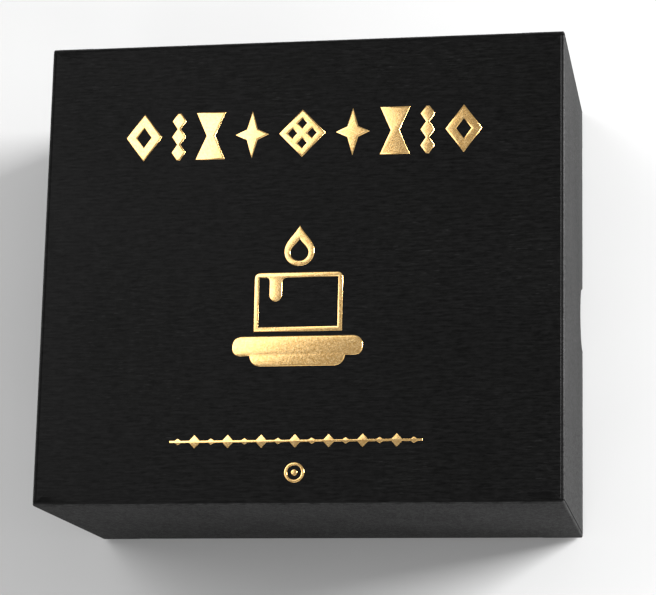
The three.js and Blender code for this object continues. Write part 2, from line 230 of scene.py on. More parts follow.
def stay_tape():
    finish = Finish("stay_tape", Roughness=0.7, Specular_IOR_Level=0.35)
    fibres = finish.noise((500.0, 500.0, 2200.0), detail=4, roughness=0.6)
    finish.feed(finish.ramp(fibres, (0.3, (0.36, 0.25, 0.13)), (0.7, (0.5, 0.37, 0.21))), "Base Color")
    finish.bumps((fibres, 0.25, 0.03 * MM))
    return finish.material


def lining_paper():
    finish = Finish("black_lining", Roughness=0.72, Specular_IOR_Level=0.3)
    fibres = finish.noise(1300.0, detail=4, roughness=0.65)
    finish.feed(finish.ramp(fibres, (0.3, 0.008), (0.72, 0.017)), "Base Color")
    finish.bumps((fibres, 0.3, 0.04 * MM))
    return finish.material


def gold_foil():
    """Hot-stamped foil: bright metal with the paper's fine grain showing through it."""
    finish = Finish("gold_foil", Metallic=1.0, Anisotropic=0.2, Coat_Weight=0.4, Coat_Roughness=0.18)
    grain = finish.noise(1500.0, detail=3, roughness=0.7)
    sparks = finish.noise(2900.0, detail=2, roughness=0.7)
    drift = finish.noise(28.0, detail=1)
    tone = finish.ramp(drift, (0.3, (0.94, 0.57, 0.18)), (0.7, (1.0, 0.65, 0.25)))
    sparkle = finish.ramp(grain, (0.35, (0.82, 0.43, 0.11)), (0.68, (1.0, 0.77, 0.44)))
    finish.feed(finish.mixed(0.4, tone, sparkle), "Base Color")
    finish.feed(finish.ramp(grain, (0.3, 0.12), (0.7, 0.22)), "Roughness")
    finish.bumps((grain, 0.3, 0.03 * MM), (sparks, 0.3, 0.02 * MM))
    return finish.material


def foam():
    finish = Finish("foam", Roughness=0.95, Specular_IOR_Level=0.15)
    cells = finish.node("TexVoronoi", Vector=finish.coordinates((1500.0,) * 3), Scale=1.0)
    mottle = finish.noise(90.0, detail=3)
    finish.feed(finish.ramp(mottle, (0.3, 0.012), (0.7, 0.024)), "Base Color")
    finish.bumps((cells.outputs["Distance"], 0.7, 0.25 * MM))
    return finish.material


def flock():
    """Short velvet pile on card."""
    finish = Finish("flock", Roughness=1.0, Specular_IOR_Level=0.1, Sheen_Weight=0.6,
                    Sheen_Roughness=0.4)
    pile = finish.noise(3200.0, detail=2, roughness=0.7)
    nap = finish.noise((60.0, 110.0, 60.0), detail=3)
    tone = finish.ramp(pile, (0.3, 0.004), (0.75, 0.014))
    brushed = finish.ramp(nap, (0.35, 0.006), (0.65, 0.013))
    finish.feed(finish.mixed(0.5, tone, brushed), "Base Color")
    finish.bumps((pile, 0.6, 0.12 * MM))
    return finish.material


def black_lacquer():
    """Black lacquer over turned wood, whose grain barely shows."""
    finish = Finish("black_lacquer", Specular_IOR_Level=0.5, Coat_Weight=0.4, Coat_Roughness=0.12)
    grain = finish.noise((60.0, 900.0, 60.0), detail=4, roughness=0.6)
    wear_and_painted_light = finish.noise(140.0, detail=4)
    finish.feed(finish.ramp(grain, (0.35, 0.006), (0.7, 0.012)), "Base Color")
    finish.feed(finish.ramp(wear_and_painted_light, (0.3, 0.3), (0.75, 0.45)), "Roughness")
    finish.bumps((grain, 0.15, 0.03 * MM))
    return finish.material


def turned_metal(name, dark, light, low, high, anisotropy=0.5):
    """Metal with the fine rings of a lathe tool round the Z axis."""
    finish = Finish(name, Metallic=1.0, Anisotropic=anisotropy)
    rings = finish.noise((25.0, 25.0, 4200.0), detail=3, roughness=0.6)
    patina = finish.noise(85.0, detail=4, roughness=0.6)
    finish.feed(finish.ramp(patina, (0.3, dark), (0.7, light)), "Base Color")
    finish.feed(finish.ramp(patina, (0.3, low), (0.7, high)), "Roughness")
    finish.bumps((rings, 0.3, 0.02 * MM))
    return finish.material


def felt():
    finish = Finish("felt", Roughness=1.0, Specular_IOR_Level=0.1, Sheen_Weight=0.4,
                    Sheen_Roughness=0.5)
    fibres = finish.noise(1600.0, detail=5, roughness=0.75, distortion=1.5)
    finish.feed(finish.ramp(fibres, (0.3, 0.008), (0.7, 0.03)), "Base Color")
    finish.bumps((fibres, 0.8, 0.3 * MM))
    return finish.material


def wax():
    finish = Finish("wax", Roughness=0.42, Specular_IOR_Level=0.45, Subsurface_Weight=0.35,
                    Subsurface_Radius=(0.006, 0.004, 0.0025), Subsurface_Scale=0.6)
    frost = finish.noise(320.0, detail=5, roughness=0.6)
    clouds = finish.noise(60.0, detail=3)
    tone = finish.ramp(clouds, (0.3, (0.68, 0.57, 0.4)), (0.7, (0.77, 0.68, 0.53)))
    bloom = finish.ramp(frost, (0.35, (0.66, 0.56, 0.42)), (0.75, (0.8, 0.74, 0.62)))
    finish.feed(finish.mixed(0.3, tone, bloom), "Base Color")
    finish.bumps((frost, 0.12, 0.15 * MM))
    return finish.material


def cotton():
    finish = Finish("cotton", Roughness=0.8, Specular_IOR_Level=0.3, Subsurface_Weight=0.1)
    fibres = finish.noise((2600.0, 2600.0, 900.0), detail=4, roughness=0.7)
    finish.feed(finish.ramp(fibres, (0.3, (0.62, 0.56, 0.44)), (0.7, (0.84, 0.79, 0.68))), "Base Color")
    finish.bumps((fibres, 0.6, 0.08 * MM))
    return finish.material


MATERIALS = {
    "wrap_face": wrap_paper("black_wrap_face", grain=(170.0, 1600.0, 1600.0),
                            mottle_grain=(420.0, 900.0, 900.0), dark=0.0001, light=0.006,
                            share=0.35, relief=1.3, smooth=0.34, Specular_IOR_Level=0.08),
    # The walls' copy of the paper, grain running down: its tones are much lighter than the face's,
    # painted light for the light the walls catch at a grazing view.
    "wrap_wall_painted_light": wrap_paper("black_wrap_wall_painted_light", grain=(1500.0, 1500.0, 800.0),
                            mottle_grain=(800.0, 800.0, 420.0), dark=0.002, light=0.038,
                            share=0.5, relief=5.0, smooth=0.66, Specular_IOR_Level=0.09),
    # The slits' copy of the paper: nearly black and barely glossy, painted shade down each slit.
    "wrap_slit_painted_shade": wrap_paper("black_wrap_slit_painted_shade", grain=(1100.0, 1100.0, 550.0),
                            mottle_grain=(420.0, 420.0, 200.0), dark=0.0002, light=0.001,
                            share=0.5, relief=1.0, smooth=0.9, Specular_IOR_Level=0.01),
    "greyboard": greyboard(),
    "stay_tape": stay_tape(),
    "black_lining": lining_paper(),
    "gold_foil": gold_foil(),
    "foam": foam(),
    "flock": flock(),
    "black_lacquer": black_lacquer(),
    "brass_band": turned_metal("brass_band", (0.72, 0.46, 0.16), (0.86, 0.62, 0.27), 0.2, 0.32),
    "felt": felt(),
    "black_cup": turned_metal("black_cup", (0.012,) * 3, (0.022,) * 3, 0.3, 0.42),
    "wax": wax(),
    "tin": turned_metal("tin", (0.5,) * 3, (0.62,) * 3, 0.25, 0.4),
    "cotton": cotton(),
}


# ---------------------------------------------------------------- mesh helpers

def piece(name, mesh, body, slot, replaced=(), materials=None, smooth_angle=35):
    """A finished object on its body, in place of the CAD nodes it stands for."""
    obj = bpy.data.objects.new(name, mesh)
    bpy.context.scene.collection.objects.link(obj)
    for material in materials or [slot]:
        mesh.materials.append(MATERIALS[material])
    mesh.shade_smooth()
    mesh.set_sharp_from_angle(angle=math.radians(smooth_angle))
    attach(obj, body)
    if replaced:
        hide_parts(*replaced)
    return obj


def mesh_from(name, points, faces, wear_and_painted_light=None):
    """A mesh with its doubled points merged and its faces pointing out. The last argument gives each
    point's share of painted highlight, or -1 where the paper gets painted shade."""
    mesh = bpy.data.meshes.new(name)
    mesh.from_pydata(points, [], faces)
    work = bmesh.new()
    work.from_mesh(mesh)
    if wear_and_painted_light:
        layer = work.verts.layers.float.new("wear_and_painted_light")
        for vert, share in zip(work.verts, wear_and_painted_light):
            vert[layer] = share
    bmesh.ops.remove_doubles(work, verts=work.verts, dist=MERGE)
    bmesh.ops.recalc_face_normals(work, faces=work.faces)
    work.to_mesh(mesh)
    work.free()
    return mesh


def loft(name, rows, ring=False, caps=True, wear_and_painted_light=None):
    """Faces between closed rows of points. A ring joins the last row to the first; otherwise the
    two ends are capped."""
    width = len(rows[0])
    points = [point for row in rows for point in row]
    faces = []
    spans = [(i, i + 1) for i in range(len(rows) - 1)] + ([(len(rows) - 1, 0)] if ring else [])
    for low, high in spans:
        for column in range(width):
            after = (column + 1) % width
            faces.append((low * width + column, low * width + after,
                          high * width + after, high * width + column))
    if caps and not ring:
        faces.append(tuple(range(width)))
        faces.append(tuple(range((len(rows) - 1) * width, len(rows) * width)))
    return mesh_from(name, points, faces, wear_and_painted_light)


def sweep(degrees, steps):
    """Angles in radians from 0 to degrees, ends included."""
    return [math.radians(degrees * i / steps) for i in range(steps + 1)]


def arc(centre, radius, start, end, steps):
    """Points of an arc in a profile plane, ends included, with angles in degrees."""
    angles = [math.radians(start + (end - start) * i / steps) for i in range(steps + 1)]
    return [(centre[0] + radius * math.cos(a), centre[1] + radius * math.sin(a)) for a in angles]


def lathe(name, profile, sides=160, closed=False):
    """A profile of (radius, z) points turned round the Z axis. One that isn't closed starts and
    ends on the axis."""
    turns = [2 * math.pi * i / sides for i in range(sides)]
    rows = [[(r * math.cos(a), r * math.sin(a), z) for a in turns] for r, z in profile]
    return loft(name, rows, ring=closed, caps=False)


# ---------------------------------------------------------------- wrapped shells

# One upright line of a shell: on side or corner centre (signs), facing normal, moved by shift
# along its side. edge is the rim's shape there: (along, height, normal along, normal height). swell
# is how far the wall stands out, over a hidden tab, or sinks in, below 0, down a slit.
Column = namedtuple("Column", "centre normal shift edge swell")

MOUTH_STEPS = 5
ARCH_STEPS = 36
CORNER_STEPS = 8
FOLD_STEPS = 5
RIM_STEPS = 8
STRAIGHT = (0.0, 0.0, 0.0, -1.0)  # the edge of a rim with no notch
SIDE_STOPS = (-0.6, -0.3, 0.3, 0.6)  # shares of half a side wall, on either side of its notch
WALL_STOPS = (0.15, 0.5, 0.8)  # shares of the wall's height, from the shut face
MIDDLE_OF_TURN = 0.7  # sine of just under 45 degrees


def notch_edge(radius):
    """The rim's outline through a thumb notch, as (along, height, normal along, normal height)."""
    mouth, rise = NOTCH_MOUTH, radius - NOTCH_MOUTH
    left = [(-radius - mouth + mouth * math.sin(a), mouth - mouth * math.cos(a),
             math.sin(a), -math.cos(a)) for a in sweep(90, MOUTH_STEPS)]
    arch = []
    for i in range(1, ARCH_STEPS):
        a = math.radians(180 * i / ARCH_STEPS - 90)
        out = Vector((-math.sin(a) / radius, -math.cos(a) / rise)).normalized()
        arch.append((radius * math.sin(a), mouth + rise * math.cos(a), out.x, out.y))
    right = [(-along, height, -n_along, n_height) for along, height, n_along, n_height in left]
    return left + arch + right[::-1]


def shell_columns(part, depth, notch_radius=0.0):
    """The columns round a shell, anticlockwise from its right wall. depth is half the thickness
    of the wall, which rounds its rim."""
    middle = [((0, 0.0), STRAIGHT)]
    if notch_radius:
        middle = [((0, along - n_along * depth), (along, height, n_along, n_height))
                  for along, height, n_along, n_height in notch_edge(notch_radius)]
    right = [((0, share * part.half_y), STRAIGHT) for share in SIDE_STOPS]
    right[2:2] = middle
    left = [((0, -y), (-e[0], e[1], -e[2], e[3])) for (_, y), e in right]
    tab = part.half_x - TAB_LENGTH
    stops = [(tab + TAB_STEP, 1), (tab, 0), (0.5 * tab, 0), (0.0, 0), (-0.5 * tab, 0), (-tab, 0),
             (-tab - TAB_STEP, 1)]
    columns = [Column((1, 0), (1, 0), shift, edge, 0.0) for shift, edge in right]
    columns += corner_columns(1, 1)
    columns += [Column((0, 1), (0, 1), (x, 0), STRAIGHT, TAB_SWELL * on) for x, on in stops]
    columns += corner_columns(-1, 1)
    columns += [Column((-1, 0), (-1, 0), shift, edge, 0.0) for shift, edge in left]
    columns += corner_columns(-1, -1)
    columns += [Column((0, -1), (0, -1), (-x, 0), STRAIGHT, TAB_SWELL * on) for x, on in stops]
    columns += corner_columns(1, -1)
    return columns


def corner_columns(sign_x, sign_y):
    """A corner's arc, and beside it on the left or right wall the slit where the front or back
    paper ends."""
    start = {(1, 1): 0, (-1, 1): 90, (-1, -1): 180, (1, -1): 270}[sign_x, sign_y]
    made = []
    for i in range(CORNER_STEPS + 1):
        a = math.radians(start + 90 * i / CORNER_STEPS)
        over_tab = abs(math.sin(a)) > MIDDLE_OF_TURN
        made.append(Column((sign_x, sign_y), (math.cos(a), math.sin(a)), (0, 0), STRAIGHT,
                           TAB_SWELL * over_tab))
    slit = [Column((sign_x, sign_y), (sign_x, 0), (0, -sign_y * away), STRAIGHT, -sunk)
            for away, sunk in SLIT]
    return slit + made if sign_x == sign_y else made + slit[::-1]


# half_x and half_y are outside sizes; closed and rim are the heights of the shut face and of the
# open edge.
Part = namedtuple("Part", "half_x half_y closed rim")


def ring_at(part, column, inset=0.0, radius=CORNER_RADIUS):
    """Where a column meets the outline that lies inset within the part's."""
    corner = max(radius - inset, INNER_RADIUS)
    reach_x, reach_y = part.half_x - inset - corner, part.half_y - inset - corner
    shift_x = max(-reach_x, min(reach_x, column.shift[0]))
    return (column.centre[0] * reach_x + column.normal[0] * corner + shift_x,
            column.centre[1] * reach_y + column.normal[1] * corner + column.shift[1])


def shell_rows(part, columns, wall, layer, turn_in, face, radius=CORNER_RADIUS):
    """Rows of points from the shut face, over the fold, along the wall, round the rim and back up
    inside. layer moves the surface into the material, for the underside of the paper."""
    up = 1 if part.closed > part.rim else -1
    half = wall / 2
    shut = part.closed - up * layer
    rows = [[(*ring_at(part, c, inset, radius), shut - up * drop) for c in columns]
            for inset, drop in face]
    for a in sweep(90, FOLD_STEPS):
        out = (FOLD_RADIUS - layer) * math.sin(a) - FOLD_RADIUS
        z = part.closed - up * (FOLD_RADIUS - (FOLD_RADIUS - layer) * math.cos(a))
        rows.append([wall_point(part, c, out + c.swell * math.sin(a), z, radius) for c in columns])
    for share in WALL_STOPS:
        z = part.closed + (part.rim - part.closed) * share
        rows.append([wall_point(part, c, c.swell - layer, z, radius) for c in columns])
    above_rim = [part.rim + up * (c.edge[1] - c.edge[3] * half + RIM_BAND) for c in columns]
    rows.append([wall_point(part, c, c.swell - layer, z, radius)
                 for c, z in zip(columns, above_rim)])
    for a in sweep(180, RIM_STEPS):
        rows.append([rim_point(part, c, half, half - layer, a, up, radius) for c in columns])
    end = part.rim + up * turn_in
    rows.append([wall_point(part, c, layer - wall, end, radius) for c in columns])
    return rows


def wall_point(part, column, out, z, radius):
    """A point on a column, out from the part's outside."""
    return (*ring_at(part, column, -out, radius), z)


def rim_point(part, column, half, reach, angle, up, radius):
    """A point round the rim's rounding, whose middle lies half the wall's thickness in."""
    _, height, n_along, n_height = column.edge
    swell = column.swell * max(0.0, math.cos(angle))
    x, y = ring_at(part, column, half - reach * math.cos(angle) - swell, radius)
    along = reach * math.sin(angle) * n_along
    z = part.rim + up * (height - n_height * half + reach * math.sin(angle) * n_height)
    return (x, y + along, z)


WRAP_FINISHES = ["wrap_face", "wrap_wall_painted_light", "wrap_slit_painted_shade"]


def paint_walls(mesh):
    """Gives the walls the copy of the paper whose grain runs down them and whose lighter tones are
    painted light, and the slits the near-black copy with painted shade.
    """
    wear_and_painted_light = mesh.attributes["wear_and_painted_light"].data
    for face in mesh.polygons:
        # Faces down a slit take the paper with painted shade.
        if min(wear_and_painted_light[i].value for i in face.vertices) < 0:
            face.material_index = WRAP_FINISHES.index("wrap_slit_painted_shade")
        elif abs(face.normal.z) < MIDDLE_OF_TURN:
            face.material_index = WRAP_FINISHES.index("wrap_wall_painted_light")


def outside(node, shut_above):
    """The sizes of the shell that a wrap's CAD node covers."""
    low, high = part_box(node)
    closed, rim = (high.z, low.z) if shut_above else (low.z, high.z)
    return Part(high.x, high.y, closed, rim)


LID = outside("lid_wrap", shut_above=True)
TRAY = outside("tray_wrap", shut_above=False)

# The lid's top from within to its edge, as (inset, drop): flat, a hairline groove where the paper
# settles beside the board's edge, and the edge's own slight bead.
LID_FACE = ((4 * MM, 0), (1.15 * MM, 0), (1.0 * MM, 0.11 * MM), (0.82 * MM, 0.11 * MM),
            (0.66 * MM, 0))
TRAY_FACE = ((TURN_UNDER, 0), (1.5 * MM, 0))
BOARD_FACE = ((1.5 * MM, 0),)

# How much painted highlight the outside rows after the face get. The rim's shares start RIM_BAND above
# the rim, and go round it to the end of the turn-in.
FOLD_HIGHLIGHT = (0.2, 0.8, 1.0, 1.0, 0.8, 0.2)
WALL_HIGHLIGHT = (0.0,) * len(WALL_STOPS)
RIM_HIGHLIGHT = (0.7, 0.9, 1.0, 1.0, 1.0, 0.9, 0.6, 0.3, 0.1, 0.0, 0.0)
CORNER_HIGHLIGHT = 0.6


def painted_light_shares(face, columns):
    """Each point's painted light on the outside rows: a painted highlight, most on the folds, the rim
    and the upright corners, and -1 down in the slits, which take the paper with painted shade."""
    made = [0.0] * (len(face) * len(columns))
    corners = [CORNER_HIGHLIGHT * 2 * abs(c.normal[0] * c.normal[1]) for c in columns]
    for share in FOLD_HIGHLIGHT + WALL_HIGHLIGHT + RIM_HIGHLIGHT:
        made += [-1.0 if c.swell < 0 else max(share, highlight_share) for c, highlight_share in zip(columns, corners)]
    return made


def add_wrap(body, part, notch_radius, turn_in, face, open_face):
    """The paper on a shell: its outside rows, then its underside's on the way back. open_face
    leaves the shut face open within its first row, for paper that is only turned under."""
    columns = shell_columns(part, WALL / 2, notch_radius)
    upper = shell_rows(part, columns, WALL, 0.0, turn_in, face)
    under = shell_rows(part, columns, WALL, PAPER, turn_in, face)
    # Painted highlight, and marks for the slits' painted shade, on the outside rows only; none on the
    # underside.
    wear_and_painted_light = painted_light_shares(face, columns) + [0.0] * (len(under) * len(columns))
    mesh = loft(f"{body}_paper", upper + under[::-1], ring=open_face, wear_and_painted_light=wear_and_painted_light)
    paint_walls(mesh)
    piece(f"{body}_paper", mesh, body, "black_wrap", [f"{body}_wrap"], WRAP_FINISHES)


def add_wraps():
    add_wrap("lid", LID, NOTCH_RADIUS, LID_TURN_IN, LID_FACE, open_face=False)
    add_wrap("tray", TRAY, 0.0, TRAY_TURN_IN, TRAY_FACE, open_face=True)


def add_boards():
    """The greyboard shells, with the wrap's rounded corners, under paper and tape."""
    under, edge = PAPER + STAY_LAYER, PAPER + GLUE
    for body, outer, notch in (("lid", LID, NOTCH_RADIUS + edge), ("tray", TRAY, 0.0)):
        up = 1 if outer.closed > outer.rim else -1
        part = Part(outer.half_x - under, outer.half_y - under, outer.closed - up * edge,
                    outer.rim + up * edge)
        columns = [c._replace(swell=0.0) for c in shell_columns(part, BOARD / 2, notch)]
        depth = abs(part.closed - part.rim) - BOARD
        rows = shell_rows(part, columns, BOARD, 0.0, depth, BOARD_FACE, CORNER_RADIUS - under)
        mesh = loft(f"{body}_greyboard", rows)
        piece(f"{body}_greyboard", mesh, body, "greyboard", [f"{body}_board"])


def add_stays():
    """Tape round each corner of the boards, between board and wrap."""
    corners = {"back_right": (1, 1), "back_left": (-1, 1),
               "front_left": (-1, -1), "front_right": (1, -1)}
    outer_face = PAPER + GLUE / 2
    for body, part in (("lid", LID), ("tray", TRAY)):
        for corner, (sign_x, sign_y) in corners.items():
            node = f"{body}_stay_{corner}"
            low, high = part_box(node)
            outer = stay_outline(part, sign_x, sign_y, outer_face)
            inner = stay_outline(part, sign_x, sign_y, outer_face + STAY_THICK)
            rows = [[(x, y, z) for x, y in line] for line, z in
                    ((outer, low.z), (outer, high.z), (inner, high.z), (inner, low.z))]
            piece(f"{node}_tape", loft_strip(node, rows), body, "stay_tape", [node])


def stay_outline(part, sign_x, sign_y, depth):
    """The line of a tape seen from above, depth inside the part's outline."""
    radius = CORNER_RADIUS - depth
    x, y = part.half_x - CORNER_RADIUS, part.half_y - CORNER_RADIUS
    turn = arc((x, y), radius, 0, 90, CORNER_STEPS)
    points = [(x + radius, part.half_y - STAY_LEG), *turn, (part.half_x - STAY_LEG, y + radius)]
    return [(sign_x * px, sign_y * py) for px, py in points]


def loft_strip(name, rows):
    """A closed band between open rows of points, shut at both ends."""
    width = len(rows[0])
    points = [point for row in rows for point in row]
    faces = []
    for row in range(len(rows)):
        after = (row + 1) % len(rows)
        for i in range(width - 1):
            faces.append((row * width + i, row * width + i + 1,
                          after * width + i + 1, after * width + i))
    faces.append(tuple(row * width for row in range(len(rows))))
    faces.append(tuple(row * width + width - 1 for row in range(len(rows))))
    return mesh_from(name, points, faces)


# ---------------------------------------------------------------- gold foil

def top_loops(node):
    """The outlines of a CAD plate's upper face, each as a list of (x, y)."""
    work = bmesh.new()
    work.from_mesh(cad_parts[node].data)
    bmesh.ops.remove_doubles(work, verts=work.verts, dist=MERGE)
    top = max(v.co.z for v in work.verts) - 10 * MERGE
    upper = {f for f in work.faces if all(v.co.z > top for v in f.verts)}
    edges = {e for e in work.edges if sum(f in upper for f in e.link_faces) == 1}
    edges = {e for e in edges if all(v.co.z > top for v in e.verts)}
    loops = []
    while edges:
        edge = min(edges, key=lambda e: e.index)
        start, point = edge.verts
        loop = [start, point]
        edges.remove(edge)
        while point is not start:
            edge = next(e for e in point.link_edges if e in edges)
            edges.remove(edge)
            point = edge.other_vert(point)
            loop.append(point)
        loops.append([(v.co.x, v.co.y) for v in loop[:-1]])
    work.free()
    return loops


def filled_outline(node, softness):
    """A CAD plate's outline as a flat curve's mesh, in millimetres, with its edge bevelled."""
    curve = bpy.data.curves.new(node, "CURVE")
    curve.dimensions = "2D"
    curve.fill_mode = "BOTH"
    for loop in top_loops(node):
        spline = curve.splines.new("POLY")
        spline.points.add(len(loop) - 1)
        for point, (x, y) in zip(spline.points, loop):
            point.co = (x / MM, y / MM, 0, 1)
        spline.use_cyclic_u = True
    curve.bevel_depth = softness / MM
    curve.bevel_resolution = 3
    curve.offset = -softness / MM
    obj = bpy.data.objects.new(node, curve)
    bpy.context.scene.collection.objects.link(obj)
    graph = bpy.context.evaluated_depsgraph_get()
    mesh = bpy.data.meshes.new_from_object(obj.evaluated_get(graph))
    bpy.data.objects.remove(obj)
    return mesh


def pressed_foil(node, softness):
    """The foil of one CAD plate with its edge rounded over, softness wide."""
    mesh = filled_outline(node, softness)
    work = bmesh.new()
    work.from_mesh(mesh)
    bmesh.ops.remove_doubles(work, verts=work.verts, dist=MERGE / MM)
    rise = (FOIL_RISE + FOIL_SINK) / (2 * softness)
    middle = LID.closed + (FOIL_RISE - FOIL_SINK) / 2
    flat = Matrix.Translation((0, 0, middle)) @ Matrix.Diagonal((MM, MM, MM * rise, 1))
    bmesh.ops.transform(work, matrix=flat, verts=work.verts)
    bmesh.ops.recalc_face_normals(work, faces=work.faces)
    work.to_mesh(mesh)
    work.free()
    return mesh


def add_foil():
    for node in sorted(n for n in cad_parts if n.startswith("foil_")):
        mesh = pressed_foil(node, FINE_FOIL_EDGES.get(node, FOIL_EDGE))
        piece(f"{node}_stamped", mesh, "lid", "gold_foil", [node], smooth_angle=50)


# ---------------------------------------------------------------- foam insert

def well_outline(grow=0.0):
    """The round well with its two finger scoops, as (x, y) points, grown outwards by grow."""
    radius, scoop, centre = WELL_RADIUS + grow, SCOOP_RADIUS + grow, WELL_RADIUS
    cross_x = (radius**2 - scoop**2 + centre**2) / (2 * centre)
    cross_y = math.sqrt(radius**2 - cross_x**2)
    on_well = math.degrees(math.atan2(cross_y, cross_x))
    on_scoop = math.degrees(math.atan2(cross_y, cross_x - centre))
    back = arc((0, 0), radius, on_well, 180 - on_well, 60)
    left = arc((-centre, 0), scoop, 180 - on_scoop, 180 + on_scoop, 28)
    front = arc((0, 0), radius, 180 + on_well, 360 - on_well, 60)
    right = arc((centre, 0), scoop, -on_scoop, on_scoop, 28)
    return back[:-1] + left[:-1] + front[:-1] + right[:-1]


def slab_outline(high, inset):
    """A slab's outline from above, with small round corners."""
    x, y = high.x - inset - SLAB_CORNER, high.y - inset - SLAB_CORNER
    line = []
    for i, (sign_x, sign_y) in enumerate(((1, 1), (-1, 1), (-1, -1), (1, -1))):
        line += arc((sign_x * x, sign_y * y), SLAB_CORNER, 90 * i, 90 * i + 90, 4)
    return line


def skin(work, rows):
    """Adds faces between closed rows of points, and gives the rows' vertices."""
    made = [[work.verts.new(point) for point in row] for row in rows]
    for first, second in zip(made, made[1:]):
        for i in range(len(first)):
            after = (i + 1) % len(first)
            work.faces.new((first[i], first[after], second[after], second[i]))
    return made


# A rounded edge as shares of its size, as (inset, drop) from the flat face to the upright one.
ROUNDED_EDGE = ((1.0, 0.0), (0.4, 0.1), (0.1, 0.4), (0.0, 1.0))


def bored_slab(node, edge):
    """A slab with the well through it, its upper and lower edges rounded by edge."""
    low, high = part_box(node)
    levels = [(inset * edge, high.z - drop * edge) for inset, drop in ROUNDED_EDGE]
    levels += [(inset * edge, low.z + drop * edge) for inset, drop in ROUNDED_EDGE[::-1]]
    bore = [[(x, y, z) for x, y in well_outline(inset)] for inset, z in levels]
    sides = [[(x, y, z) for x, y in slab_outline(high, inset)] for inset, z in levels[::-1]]
    work = bmesh.new()
    bore_loops, side_loops = skin(work, bore), skin(work, sides)
    for ends in ((bore_loops[0], side_loops[-1]), (bore_loops[-1], side_loops[0])):
        edges = [work.edges.get(pair) for loop in ends
                 for pair in zip(loop, loop[1:] + loop[:1])]
        bmesh.ops.triangle_fill(work, use_beauty=True, edges=edges)
    bmesh.ops.recalc_face_normals(work, faces=work.faces)
    mesh = bpy.data.meshes.new(node)
    work.to_mesh(mesh)
    work.free()
    return mesh


def add_insert():
    piece("foam_bored", bored_slab("foam_block", 0.6 * MM), "tray", "foam", ["foam_block"])
    piece("flocked_card", bored_slab("foam_cover", 0.2 * MM), "tray", "flock", ["foam_cover"])


# ---------------------------------------------------------------- round base

def add_base_body():
    """The turned body: a seat for the sleeve, a lip over it, and a well for the cup."""
    low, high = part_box("base_body")
    cup_low, cup_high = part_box("candle_cup")
    radius = high.x
    seat = radius - SLEEVE_WALL - 0.05 * MM
    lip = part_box("base_band")[1].z + 0.1 * MM
    well, well_floor = cup_high.x + 0.2 * MM, cup_low.z - 0.02 * MM
    foot_bevel, lip_bevel, well_bevel = 0.3 * MM, 0.15 * MM, 0.3 * MM
    shoulder, well_edge = 0.9 * MM, 0.4 * MM
    profile = [(0, low.z), (seat - foot_bevel, low.z), (seat, low.z + foot_bevel), (seat, lip),
               (radius - lip_bevel, lip), (radius, lip + lip_bevel)]
    profile += arc((radius - shoulder, high.z - shoulder), shoulder, 0, 90, 8)
    profile += arc((well + well_edge, high.z - well_edge), well_edge, 90, 180, 5)
    profile += [(well, well_floor + well_bevel), (well - well_bevel, well_floor), (0, well_floor)]
    piece("base_turned_body", lathe("base_turned_body", profile), "base", "black_lacquer",
          ["base_body"])


def add_base_sleeve():
    low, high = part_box("base_band")
    radius, edge = high.x, 0.25 * MM
    inner = radius - SLEEVE_WALL
    profile = arc((radius - edge, low.z + edge), edge, -90, 0, 4)
    profile += arc((radius - edge, high.z - edge), edge, 0, 90, 4)
    profile += [(inner, high.z), (inner, low.z)]
    sleeve = lathe("base_brass_sleeve", profile, closed=True)
    piece("base_brass_sleeve", sleeve, "base", "brass_band", ["base_band"])


def add_base_felt():
    low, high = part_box("base_felt")
    edge = 0.5 * MM
    profile = [(0, low.z)] + arc((high.x - edge, low.z + edge), edge, -90, 0, 5)
    profile += [(high.x, high.z), (0, high.z)]
    piece("base_felt_disc", lathe("base_felt_disc", profile), "base", "felt", ["base_felt"])


# ---------------------------------------------------------------- candle

def add_cup():
    low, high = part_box("candle_cup")
    inner, foot, bead, fillet = high.x - CUP_WALL, 1.2 * MM, CUP_WALL / 2, 0.6 * MM
    floor = low.z + CUP_WALL
    profile = [(0, low.z)] + arc((high.x - foot, low.z + foot), foot, -90, 0, 8)
    profile += arc((high.x - bead, high.z - bead), bead, 0, 180, 10)
    profile += [(inner, floor + fillet), (inner - fillet, floor), (0, floor)]
    piece("candle_spun_cup", lathe("candle_spun_cup", profile), "candle", "black_cup",
          ["candle_cup"])


def wax_surface(outer, bore, level, steps=40):
    """The wax's top as (radius, z), from the cup to the wick: it climbs a little at both, and dips
    between them."""
    at_cup, cup_reach = 0.9 * MM, 1.3 * MM
    at_wick, wick_reach = 0.5 * MM, 1.6 * MM
    dip = 0.35 * MM
    surface = []
    for i in range(steps + 1):
        r = outer + (bore - outer) * i / steps
        climb = at_cup * math.exp(-(outer - r) / cup_reach)
        climb += at_wick * math.exp(-(r - bore) / wick_reach)
        sag = dip * math.sin(math.pi * (r - bore) / (outer - bore)) ** 2
        surface.append((r, level + climb - sag))
    return surface


def add_wax():
    """Poured wax, with room round the wick and over its clip."""
    low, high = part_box("wax")
    clip_low, clip_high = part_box("wick_clip")
    gap = 0.1 * MM
    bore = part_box("wick")[1].x + gap
    neck, neck_top = 2.1 * MM, clip_high.z + gap
    disc, disc_top = clip_high.x + gap, clip_low.z + 0.6 * MM
    bevel, bevel_height = 0.7 * MM, 0.9 * MM
    profile = wax_surface(high.x, bore, high.z - 0.3 * MM)
    profile += [(bore, neck_top), (neck, neck_top), (neck, disc_top), (disc, disc_top),
                (disc, low.z), (high.x - bevel, low.z), (high.x, low.z + bevel_height)]
    piece("candle_wax", lathe("candle_wax", profile, closed=True), "candle", "wax", ["wax"])


